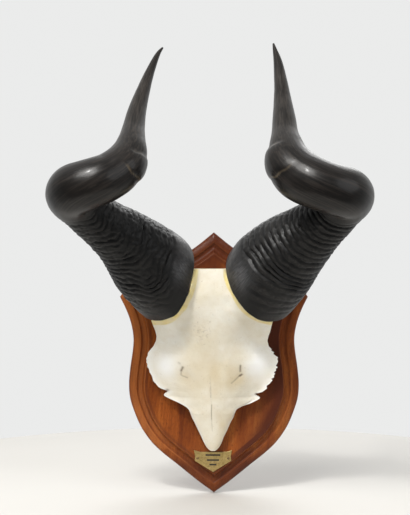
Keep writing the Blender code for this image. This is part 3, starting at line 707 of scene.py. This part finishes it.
def build_board(wood):
    rings = board_rings()
    board = skin(rings, "wall_shield", wood, sharp=28)
    inset, _, cove = (np.repeat(column, rings.shape[1]) for column in zip(*MOULDING))
    x, z = rings[..., 0].ravel(), rings[..., 2].ravel()
    flat = np.stack([x, np.zeros_like(x), z], -1)
    mark(board, "cove", cove)
    mark(board, "field", inset > FIELD_FROM)
    # Painted light on the slopes of the moulding at the left, which face the lamps; wear and a painted
    # highlight on the arrises
    lit_slopes = 0.34 * ((inset > 1.5) & (inset < 8.9)) + 0.3 * ((inset > 11) & (inset < 15.5))
    lit_slopes = lit_slopes * smoothstep(-x, 20, 80) * (np.abs(z) < 100)
    arris = np.isin(inset, WORN_LIT_ARRISES) * np.clip(0.3 + 0.45 * layered(flat, 26, 5), 0, 0.6)
    mark(board, "worn", np.maximum(lit_slopes, arris))
    # Painted shade on the peak, under the horns, and on the side away from the lamps; the tip is made darker
    # too
    painted_shade_and_darkening = 0.76 * smoothstep(z, 92, 118) + 0.72 * smoothstep(-z, 92, 130) + 0.34 * smoothstep(x, 5, 55)
    mark(board, "painted_shade_and_darkening", np.clip(painted_shade_and_darkening * (0.9 + 0.25 * layered(flat, 30, 8)), 0, 0.85))
    half, tall = HANGER_END + 3, HANGER_WIDTH / 2 + 3
    recess = bar(-half, half, HANGER_Z - tall, HANGER_Z + tall)
    cutters = [from_bmesh(slab(recess, HANGER_RECESS, -4), "recess")]
    for x in HANGER_SCREW_AT.values():
        cutters.append(hole(1.4, -4, 9, 24, (x, 0, HANGER_Z)))
    for z in SKULL_SCREW_AT.values():
        sunk = [(0, -2), (5.1, -2), (5.1, 1.2), (2.5, 4.2), (2.5, 24), (0, 24)]
        cutters.append(from_bmesh(lathe(sunk, 32, (0, 0, z), FORWARD), "hole"))
    for x in PIN_AT.values():
        cutters.append(hole(PIN_HOLE, -4, 7.5, 20, (x, -BOARD_THICKNESS, PIN_Z), BACKWARD))
    carve(board, cutters)
    stands_for(board, "shield")


def horn_base(side):
    """Middle of a horn's base, the directions along, across and to the front, and the base's normal."""
    first, second = np.array(HORNS[side][:2])[:, :3]
    along = unit(second - first)
    across = unit(np.array((along[2], 0, -along[0])) * -np.sign(along[0]))
    front = unit(np.array((0, 1, 0)) - along[1] * along)
    sideways, forward = BASE_LEAN[side]
    return first, along, across, front, unit(along - sideways * across - forward * front)


def keel(side, across, front):
    angle = np.arctan2(across + 0.24 * front, front)
    return 1 + KEEL[side] * bell((angle, 0.62))


def base_plane(x, z, side):
    """Depth of the plane of a horn's base, and the distance from its middle in the plane."""
    centre, _, across, front, n = horn_base(side)
    right, up = np.broadcast_arrays(x - centre[0], z - centre[2])
    plane = centre[1] - (right * n[0] + up * n[2]) / n[1]
    away = np.stack([right, plane - centre[1], up], -1)
    radius = np.linalg.norm(away, axis=-1) / keel(side, away @ across, away @ front)
    return plane, radius, n


def blend_max(a, b, width):
    h = np.clip(0.5 + 0.5 * (a - b) / width, 0, 1)
    return b + (a - b) * h + width * h * (1 - h)


def skull_middle(z):
    return np.interp(z, [-100, 10, 60, 108], [-1.6, -2.9, -2.7, -2])


def dome_half(z):
    """Half width of the dome, evened out over the notches of its edge."""
    table = np.array(SECTIONS)[::-1]
    half = (table[:, 2] - table[:, 1]) / 2
    return sum(np.interp(z + step, table[:, 0], half) for step in (-6, -3, 0, 3, 6)) / 5


def skull_dome(x, z, rim, middle):
    """Depth of the outer surface, and how much of the yellow collar of a horn is there."""
    u = np.clip(np.abs(x - skull_middle(z)) / dome_half(z), 0, 1)
    brow = 0.5 * (1 + np.cos(np.pi * u**1.25))
    nose = np.clip((-38 - z) / 18, 0, 1)
    pedicle = np.clip((z - 12) / 50, 0, 1)
    arch = np.sqrt(np.maximum(0, 1 - u ** (2.2 + 1.8 * pedicle)))
    shape = brow + (arch - brow) * np.maximum(nose, pedicle)
    dome = rim + (middle - rim) * shape
    burr, cuts = np.zeros_like(dome), []
    for side in HORNS:
        plane, radius, n = base_plane(x, z, side)
        cuts.append(plane - GAP / n[1])
        wobble = 0.9 * noise(in_plane(x, z), 9, 21)
        fall = np.logaddexp(0, (radius + wobble - STUB_RADIUS) / 1.6) * 1.6
        stub = plane + 3 / n[1] - 1.8 * fall
        burr = np.maximum(burr, smoothstep(COLLAR[side] - radius - wobble, -0.7, 0.7))
        dome = blend_max(dome, stub, 5)
    return np.minimum(dome, np.minimum(*cuts)), burr


def build_skull(bone):
    table = np.array(SECTIONS)[::-1]
    z = np.linspace(table[-1, 0], table[0, 0], SKULL_ROWS)
    step = abs(z[1] - z[0])
    levels, *columns = table.T
    blurs = (0.55, 0.55, 4, 4)
    left, right, rim, middle = (soften(np.interp(z, levels, c), b / step) for c, b in zip(columns, blurs))
    share = np.linspace(-1, 1, SKULL_POINTS)
    share = share * (1.3 - 0.3 * share**2)
    share /= share[-1]
    # The rims of the eye sockets are finely toothed
    rim_zone = smoothstep(z, -31, -25) * smoothstep(-z, -22, -14)
    teeth = []
    for seed, amount in ((31, 0.9), (32, 2.3)):
        at = in_plane(z, np.full(SKULL_ROWS, seed * 7))
        teeth.append(amount * rim_zone * (0.7 * noise(at, 1.9, seed) + 0.4 * noise(at, 4.2, seed + 5)))
    left, right = left - teeth[0], right + teeth[1]
    centre, half = ((left + right) / 2)[:, None], ((right - left) / 2)[:, None]
    x = centre + half * share
    zz = np.repeat(z[:, None], SKULL_POINTS, 1)
    top, burr = skull_dome(x, zz, rim[:, None], middle[:, None])
    at = np.stack([x, top, zz], -1)
    # Low swellings and hollows, finer unevenness, then the openings and seams
    u = np.repeat(np.abs(share)[None, :], SKULL_ROWS, 0)
    inner = smoothstep(1 - u, 0, 0.1)
    uneven = 0.55 * noise(at, 22, 3) + 0.25 * noise(at, 8, 4) + 0.1 * noise(at, 2.6, 6)
    top += (1 - burr) * inner * uneven
    for bx, bz, width, height in SWELLINGS:
        spread_over = width * 2**0.5
        top += height * bell((x - bx, spread_over), (zz - bz, spread_over)) * inner
    groove = np.zeros_like(top)

    wander = 0.5 * noise(in_plane(x, zz), 3, 77)

    def etch(line, strength):
        """Cuts a line, given by both its ends, half width and depth, and darkens it."""
        nonlocal top, groove
        x0, z0, x1, z1, wide, depth = line
        dx, dz = x1 - x0, z1 - z0
        t = np.clip(((x - x0) * dx + (zz - z0) * dz) / (dx * dx + dz * dz), 0, 1)
        away = np.hypot(x - x0 - t * dx, zz - z0 - t * dz) + wander * wide * 0.6
        near = np.exp(-((away / wide) ** 2) * 0.9)
        top -= near * depth
        groove = np.maximum(groove, near * strength)

    # The darkening of the openings and cracks is painted shade inside them; the seam's is its dark joint
    for line in SLITS + SEAM:
        etch(line, min(0.9, 0.12 + 0.75 * line[-1]))
    # Worn scratches and pores on the forehead
    generator = np.random.default_rng(11)
    for _ in range(SCRATCH_COUNT):
        px, pz = generator.normal(-14, 6), generator.normal(37, 6)
        tilt, length = generator.uniform(0, math.pi), generator.uniform(0.2, 1.8)
        line = (px, pz, px + length * math.cos(tilt), pz + length * math.sin(tilt), 0.32, 0.3)
        etch(line, generator.uniform(0.15, 0.5))
    for _ in range(PORE_COUNT):
        px, pz = generator.uniform(-48, 42), generator.uniform(-60, 95)
        line = (px, pz, px + 0.3, pz + generator.uniform(-0.8, 0.8), 0.36, 0.25)
        etch(line, generator.uniform(0.1, 0.35))
    # Painted shadow in the notches, standing in for the shaded board seen through them
    for bx, bz in NOTCHES:
        groove = np.maximum(groove, 0.95 * bell((x - bx, 2.3), (zz - bz, 1.5)))
    top = np.maximum(top, GAP + 1)

    # The underside lies flat on the board, but for hollows under the sockets' rims and the nose
    xu = centre + (half - 0.5) * np.linspace(1, -1, UNDER_POINTS)
    zu = np.repeat(z[:, None], UNDER_POINTS, 1)
    top_u = np.array([np.interp(*row) for row in zip(xu, x, top)])
    out = np.abs(xu - skull_middle(zu)) - ORBIT_X
    vault = np.clip(1.6 - 1.6 * ((out / ORBIT_HALF) ** 2 + ((zu - ORBIT_Z) / ORBIT_HALF) ** 2), 0, 1)
    hollow = smoothstep(np.maximum(vault, np.clip((-44 - zu) / 14, 0, 1)), 0, 1)
    bottom = GAP + (np.maximum(top_u - RIM_THICKNESS, GAP) - GAP) * hollow
    upper = np.stack([x, -BOARD_THICKNESS - top, zz], -1)
    lower = np.stack([xu, -BOARD_THICKNESS - bottom, zu], -1)
    skull = skin(np.concatenate([upper, lower], 1), "skull_cap", bone, sharp=50)

    def mark_top(name, field, below=0):
        mark(skull, name, np.concatenate([field, np.full((SKULL_ROWS, UNDER_POINTS), below)], 1).ravel())

    mark_top("burr", burr * (0.75 + 0.25 * noise(at, 6, 12)))
    mark_top("groove", groove)
    # Painted highlight on the brows, which swell towards the lamps, and along the skull's lower edges
    edge = 0.6 * smoothstep(u, 0.8, 1) * smoothstep(-zz, -26, -16)
    brow = np.maximum(bell((x + 54, 13), (zz + 1, 16)), bell((x - 50, 15), (zz + 1, 16)))
    mark_top("painted_highlight", np.clip(np.maximum(edge, brow), 0, 0.95), 0.1)
    stain = 0.34 * smoothstep(x, -2, 8) * smoothstep(-zz, 45, 62) + 0.14 * smoothstep(-zz, 40, 60)
    for bx, bz, wide, tall, strength in STAINS:
        stain += strength * bell((x - bx, wide), (zz - bz, tall))
    mark_top("stain", np.clip(stain * (1 + 0.5 * noise(at, 10, 14)), 0, 0.7), 0.45)
    places = [(0, -BOARD_THICKNESS, level) for level in SKULL_SCREW_AT.values()]
    carve(skull, [hole(2.2, -6, 16, 20, place) for place in places])
    stands_for(skull, "skull")


def horn_length(side):
    return np.linalg.norm(np.diff(smooth_run(HORNS[side], 600)[:, :3], axis=0), axis=1).sum()


def horn_surface(side, at, length):
    """Points round the horn's axis, their directions from its spine, and how those face; the radius."""
    total = int(length) + 1
    path = smooth_run(HORNS[side], total)
    centre, radius = path[:, :3], path[:, 3]
    along = np.arange(total) * length / (total - 1)
    soft = np.stack([soften(centre[:, k], SPINE_SOFTNESS) for k in range(3)], 1)
    weight = smoothstep(along, 60, 100) * smoothstep(length - along, 60, 100)
    spine = centre + (soft - centre) * weight[:, None]
    tangent = np.gradient(spine, axis=0)
    tangent[:12] = tangent[0]
    tangent = unit(tangent)
    frames = [unit(np.cross(tangent[0], (0, 0, 1)))]
    for t in tangent[1:]:
        frames.append(unit(frames[-1] - t * frames[-1].dot(t)))
    frames = np.array(frames)

    def sampled(values):
        return np.stack([np.interp(at, along, values[:, k]) for k in range(3)], 1)

    origins, normals, turns = sampled(spine), unit(sampled(tangent)), sampled(frames)
    _, axis, across, front, _ = horn_base(side)
    angle = 2 * math.pi * np.arange(HORN_SIDES) / HORN_SIDES
    points, directions = np.zeros((2, len(at), HORN_SIDES, 3))
    for number, s in enumerate(at):
        i = min(int(round(s / length * (total - 1))), total - 1)
        o, t = origins[number], normals[number]
        a = unit(turns[number] - t * turns[number].dot(t))
        b = np.cross(t, a)
        u = np.cos(angle)[:, None] * a + np.sin(angle)[:, None] * b
        near = slice(max(0, i - SPINE_REACH), min(total, i + SPINE_REACH))
        c, r = centre[near] - o, radius[near]
        ahead = c @ u.T
        root = ahead**2 - ((c**2).sum(1) - r**2)[:, None]
        reach = np.sqrt(np.maximum(root, 0))
        enter = np.where(root > 0, ahead - reach, np.inf)
        leave = ahead + reach
        distance = np.zeros(HORN_SIDES)
        while True:
            here = (enter <= distance + 0.02) & (leave > distance + 0.02)
            more = here.any(0)
            if not more.any():
                break
            distance = np.where(more, np.where(here, leave, -np.inf).max(0), distance)
        for other in (number - 1, number + 1):
            if 0 <= other < len(at):
                slope = (u @ normals[other]) * (other - number)
                meet = abs((origins[other] - o).dot(normals[other])) / np.maximum(slope, 1e-9)
                distance = np.where(slope > 1e-6, np.minimum(distance, 0.96 * meet), distance)
        wider = 1 + (keel(side, u @ across, u @ front) - 1) * max(0, 1 - s / KEEL_REACH)
        away = u * (distance * wider)[:, None]
        slope = BASE_LEAN[side][0] * (away @ across) + BASE_LEAN[side][1] * (away @ front)
        points[number] = o + away + axis * (slope * max(0, 1 - s / LEAN_REACH))[:, None]
        directions[number] = u
    # The small scallops between the steps of the spine are evened out
    for _ in range(4):
        points[1:-1] = 0.25 * points[:-2] + 0.5 * points[1:-1] + 0.25 * points[2:]
    facing, inward = directions[0] @ front, directions[0] @ across
    norm = np.hypot(facing, inward)
    return points, directions, facing / norm, inward / norm, np.interp(at, along, radius)


def ring_relief(side, s, facing, inward, at):
    """How far the surface lies under the crests of the rings, and how much of it is crest, and bald."""
    calm = noise(at, 30, 41) * 2.6 + noise(at, 12, 42) * 1.1
    wild = noise(at, 14, 43) * 2.6 + noise(at, 6, 44) * 1.3
    # The rings bend towards the base at the front, and hang lower inside
    shift = calm + RING_WILD[side] * wild + RING_BEND[side] * bell((inward + 0.1, 0.42)) * (facing > 0)
    if side == "left":
        shift += 11 * bell((s - 44, 15), (facing - 0.93, 0.22), (inward + 0.25, 0.36))
    shift += 3 * inward
    phase = (s - RINGS_FROM + shift) / RING_PITCH
    weight = 0.72 + 0.28 * lattice(np.floor(phase + 0.5).astype(np.int64), 0, 0, 61)
    main = 1 - np.abs(np.sin(np.pi * phase)) ** 0.9
    minor = 0.5 + 0.5 * np.cos(2 * np.pi * (2 * phase + 0.35 * noise(at, 9, 45)))
    fading = smoothstep(RINGS_END + 4 - s, 0, 20)
    start = 13 + BALD[side] * smoothstep(inward, -0.4, 0.75)
    bald = smoothstep(start - s, -4, 8) * smoothstep(inward, -0.05, 0.45)
    inside = smoothstep(s, start - 6, start + 8) * fading
    strength = np.clip(0.85 + RING_UNEVEN[side] * noise(at, 15, 46), 0.12, 1.45)
    if side == "left":
        strength = strength * (1 - 0.55 * bell((s - 95, 40), (inward - 0.25, 0.5)) * (facing > 0))
    strength = np.maximum(strength, smoothstep(-inward, 0.35, 0.75))
    minor_cut = 0.45 * minor * (0.55 + 0.45 * noise(at, 9, 47))
    relief = inside * strength * (weight * RING_CUT[side] * main + minor_cut)
    wrinkle = np.sin(2 * np.pi * (s + shift * 0.7) / 2.4) * 0.5 + 0.5
    low = fading * (0.35 + 0.65 * inside)
    relief += low * 0.13 * wrinkle * (0.6 + 0.6 * noise(at, 6, 48))
    relief += low * 0.34 * (1 + noise(at, 3.2, 49)) + low * 0.16 * (1 + noise(at, 1.7, 50))
    # Short cracks part the rings into knobs
    crack = bell((noise(at, 7.5, 58), 0.13))
    relief += CRACK_DEPTH[side] * crack * inside
    crest = inside * np.clip(1 - 2.6 * main - 0.35 * minor - 0.7 * crack, 0, 1)
    return relief, crest * CREST_LIGHTENING[side], bald


def build_horn(side, sheath):
    length = horn_length(side)
    ringed, plain = np.arange(0.9, 168, 0.85), np.linspace(169, length - 12, 235)
    at = np.concatenate([[0, 0.35], ringed, plain, np.linspace(length - 11, length - 0.8, 12)])
    points, directions, facing, inward, radius = horn_surface(side, at, length)
    s = np.repeat(at[:, None], HORN_SIDES, 1)
    front, inner = np.broadcast_to(facing, s.shape), np.broadcast_to(inward, s.shape)
    relief, crest, bald = ring_relief(side, s, front, inner, points)
    # Unevenness and fine ridges along the upper horn
    upper = smoothstep(s, 150, 172) * smoothstep(length - s, 6, 60)
    relief += upper * (0.35 * (1 + noise(points, 30, 51)) + 0.1 * (1 + noise(points, 7, 52)))
    ridge = 0.5 + 0.5 * np.sin(np.arctan2(inner, front) * 22 + 2.5 * noise(points, 35, 53))
    relief += upper * 0.09 * ridge * np.clip(radius[:, None] / 24, 0.1, 1)
    # The swelling inside the second bend, between two creases
    sign = 1 if side == "left" else -1
    sideways, depth = directions[..., 0] * sign, directions[..., 1]
    inside_bend = smoothstep(sideways, 0.12, 0.72) * smoothstep(depth, -0.75, -0.25)
    scuff, swelling = np.zeros_like(s), np.ones_like(s)
    for number, (place, drop) in enumerate(CREASES[side]):
        away = s - place + drop * np.maximum(depth, 0) + 1.3 * noise(points, 9, 54 + number)
        outside = away if number else -away
        step = 1.5 * np.exp(-np.maximum(outside, 0) / 9) * smoothstep(outside, -0.8, 2.8)
        relief += inside_bend * (0.55 * bell((away, 1)) + step)
        swelling = swelling * smoothstep(-outside, 0, 6)
        worn = CREASE_WEAR[number] * inside_bend * bell((away, CREASE_WIDTH[number]))
        scuff = np.maximum(scuff, worn * (0.75 + 0.5 * noise(points, 5, 56)))
    relief -= 0.6 * inside_bend * swelling
    # The inner edge of the left base is straight and its lower corner full
    if side == "left":
        turned = np.arctan2(-directions[..., 2], directions[..., 0])
        near = np.clip(1 - s / 26, 0, 1)
        shape = 2.4 * bell((turned - 0.15, 0.3)) - 1.6 * bell((turned - 1.25, 0.26))
        relief += near * shape * (depth > -0.6)
    # The lip of the base is rounded and a little ragged
    lip = np.clip(1 - s / 1.1, 0, 1)
    relief += 1.1 * (1 - np.sqrt(np.maximum(0, 1 - lip**2)))
    axis = horn_base(side)[1]
    ragged = 0.9 * (1 + noise(points, 7, 57)) * 0.5 * np.clip(1 - s / 14, 0, 1)
    limit = np.linalg.norm(points - points.mean(1, keepdims=True), axis=2) * 0.25
    moved = points - directions * np.minimum(relief, limit)[..., None] + axis * ragged[..., None]
    rings = np.stack([moved[..., 0], -BOARD_THICKNESS - moved[..., 1], moved[..., 2]], -1)
    end = HORNS[side][-1]
    horn = skin(rings, f"horn_{side}", sheath, tip=(end[0], -BOARD_THICKNESS - end[1], end[2]), sharp=60)
    wide = np.repeat(np.maximum(radius, 6)[:, None], HORN_SIDES, 1)
    mark(horn, "fibre", np.stack([s, front * wide, inner * wide], -1).reshape(-1, 3))
    mark(horn, "smooth", np.maximum(smoothstep(s, 146, 168), 0.85 * bald).ravel())
    bend = CREASES[side][0][0]
    # Painted sheen over the upper horn
    mark(horn, "painted_sheen", 0.62 * smoothstep(s, bend - 15, bend + 55).ravel())
    # A painted highlight on the inner side of the base, over pale scratches on its bald skin
    spot = bell((s - 24, 11), (inner - 0.5, 0.26)) * (front > 0)
    mark(horn, "scratches_and_painted_highlight", np.clip(0.16 * bald + 0.75 * spot, 0, 1).ravel())
    mark(horn, "crest", crest.ravel())
    mark(horn, "scuff", np.clip(scuff - 0.06, 0, 1).ravel())
    stands_for(horn, f"{side}_horn")


def build_plate(brass, wax, shaded_brass):
    right = [(PLATE_X + x, z) for x, z in PLATE_HALF]
    left = [(PLATE_X - x, z) for x, z in reversed(PLATE_HALF[:-1])]
    back = BOARD_THICKNESS + GAP
    front = back + PLATE_THICKNESS
    outline = right + left
    plate = from_bmesh(slab(outline, front, back), "brass_plate", brass)
    soft_edges(plate, 0.22, 3)
    cutters, fills = [], []
    # Three plain rules in place of lettering, and a border line
    for number, (low, high, z) in enumerate(RULES):
        groove = bar(PLATE_X + low, PLATE_X + high, z - 1, z + 1)
        cutters.append(from_bmesh(slab(groove, front + 2, front - 0.35), "rule"))
        inner = bar(PLATE_X + low + 0.04, PLATE_X + high - 0.04, z - 0.96, z + 0.96)
        fill = from_bmesh(slab(inner, front - 0.12, front - 0.34), f"plate_rule_{number + 1}", wax)
        fills.append(fill)
    centre = np.array([PLATE_X, -111])
    outer, inner = (centre + (np.array(outline) - centre) * share for share in (0.9, 0.885))
    bottom, over = front - 0.18, front + 2
    bm = bmesh.new()
    loops = [loop(bm, *ring) for ring in ((outer, bottom), (inner, bottom), (inner, over), (outer, over))]
    for a, b in zip(loops, loops[1:] + loops[:1]):
        bridge(bm, a, b)
    cutters.append(from_bmesh(bm, "border"))
    for x in PIN_AT.values():
        cutters.append(hole(PIN_HOLE, -4, 4, 24, (x, -front, PIN_Z), BACKWARD))
    carve(plate, cutters)
    stands_for(plate, "name_plate")
    for fill in fills:
        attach(fill, "root")
    # The pins' heads take the darker brass, which is painted shade
    for side, x in PIN_AT.items():
        pin = [(0, 1.1)] + [(1.5 * math.sin(a), 1.1 * math.cos(a)) for a in np.linspace(0.15, 1.5, 9)]
        pin += [(1.5, 0), (0.65, 0), (0.65, -8), (0, -8.4)]
        made = from_bmesh(lathe(pin, 32, (x, -front - GAP, PIN_Z), FORWARD), f"pin_{side}", shaded_brass)
        stands_for(made, f"plate_pin_{side}")


def build_screw(profile, steps, x, z, slot, name, node, steel):
    """A turned screw; the slot of its head is given by half its length and width, its bottom and its top."""
    made = from_bmesh(lathe(profile, steps, (x, 0, z), FORWARD), name, steel)
    long, wide, bottom, over = slot
    carve(made, [from_bmesh(slab(bar(x - long, x + long, z - wide, z + wide), bottom, over), "slot")])
    stands_for(made, node)


def build_hanger(steel):
    deep = HANGER_RECESS - GAP
    near = HANGER_THICKNESS + 0.4
    side_line = [(HANGER_END, deep), (HANGER_BEND, deep), (HANGER_MIDDLE, near)]
    front = side_line + [(-x, d) for x, d in reversed(side_line)]
    strip = front + [(x, d - HANGER_THICKNESS) for x, d in reversed(front)]
    low, high = HANGER_Z - HANGER_WIDTH / 2, HANGER_Z + HANGER_WIDTH / 2
    rings = np.array([[(x, -d, z) for x, d in strip] for z in (low, high)])
    plate = skin(rings, "hanger_strip", steel)
    cutters = []
    half = 0.42 * TOOTH_PITCH
    for k in range(TOOTH_COUNT):
        x = (k - (TOOTH_COUNT - 1) / 2) * TOOTH_PITCH
        notch = [(x - half, low - 0.5), (x + half, low - 0.5), (x, low + TOOTH_DEPTH)]
        cutters.append(from_bmesh(slab(notch, 6, -4), "notch"))
    for x in HANGER_SCREW_AT.values():
        cutters.append(hole(1.6, -2, 6, 28, (x, 0, HANGER_Z)))
    carve(plate, cutters)
    soft_edges(plate, 0.12, 2)
    stands_for(plate, "hanger_plate")
    seat = deep - HANGER_THICKNESS - GAP
    for side, x in HANGER_SCREW_AT.items():
        head = [(0, 1.5), (1, 1.42), (1.8, 1.15), (2.3, 0.75), (2.5, 0.35), (2.5, 0), (1.05, 0)]
        screw = [(r, seat - h) for r, h in head] + [(1, 7.4), (0, 8.6)]
        slot = (3, 0.35, seat - 0.8, -2)
        build_screw(screw, 32, x, HANGER_Z, slot, f"strip_screw_{side}", f"hanger_screw_{side}", steel)


def build_skull_screws(steel):
    for name, z in SKULL_SCREW_AT.items():
        screw = [(0, 0.5), (4.4, 0.5), (4.6, 0.62), (4.6, 1), (2, 3.9), (1.9, 28), (0, 32)]
        build_screw(screw, 40, 0, z, (5.5, 0.55, 1.7, -1), f"bone_screw_{name}", f"skull_screw_{name}", steel)


def build_stage():
    bm = bmesh.new()
    bmesh.ops.create_circle(bm, cap_ends=True, segments=160, radius=FLOOR_RADIUS)
    bmesh.ops.translate(bm, verts=bm.verts, vec=(0.0, 0.0, FLOOR_Z * MM))
    from_bmesh(bm, "floor", floor_material())

    # A room that is bright behind the object and dim in front of it
    world = bpy.data.worlds.new("studio")
    bpy.context.scene.world = world
    world.use_nodes = True
    s = Nodes(world.node_tree)
    depth = s.node("SeparateXYZ", {"Vector": s.node("TexCoord", out="Generated")}, out=1)
    depth = s.node("MapRange", {"Value": depth, "From Min": -1})
    shade = s.ramp(depth, (0.26, DIM_ROOM), (0.78, BRIGHT_WALL))
    s.feed(s.tree.nodes["Background"].inputs["Color"], shade)

    for name, at, size, energy, colour in LAMPS:
        data = bpy.data.lights.new(name, "AREA")
        data.shape = "DISK"
        data.size = size
        data.energy = energy
        data.color = colour
        lamp = put(name, data)
        lamp.location = at
        lamp.rotation_euler = (Vector(LIT_POINT) - Vector(at)).to_track_quat("-Z", "Y").to_euler()

    camera = bpy.data.cameras.new("camera")
    camera.lens = LENS
    camera.sensor_width = 36.0
    camera.clip_end = 50.0
    seen_from = put("camera", camera)
    seen_from.location = Vector(CAMERA) * MM
    seen_from.rotation_euler = (math.radians(90.0), 0.0, 0.0)
    bpy.context.scene.camera = seen_from
    bpy.context.scene.view_settings.view_transform = "Standard"


build_board(wood_material())
build_skull(bone_material())
horn = horn_material()
for side in HORNS:
    build_horn(side, horn)
brass = metal_material("brass", (0.45, 0.33, 0.13), (0.60, 0.45, 0.19), 0.36, (0.30, 0.20, 0.075))
# A darker copy of the brass for the pins' heads: painted shade
shaded_brass = metal_material("shaded brass", (0.16, 0.11, 0.06), (0.26, 0.18, 0.09), 0.42, (0.07, 0.05, 0.03))
steel = metal_material("zinc steel", (0.50, 0.49, 0.47), (0.62, 0.61, 0.59), 0.36, (0.36, 0.34, 0.31))
build_plate(brass, wax_material(), shaded_brass)
build_hanger(steel)
build_skull_screws(steel)
build_stage()

bpy.context.view_layer.update()
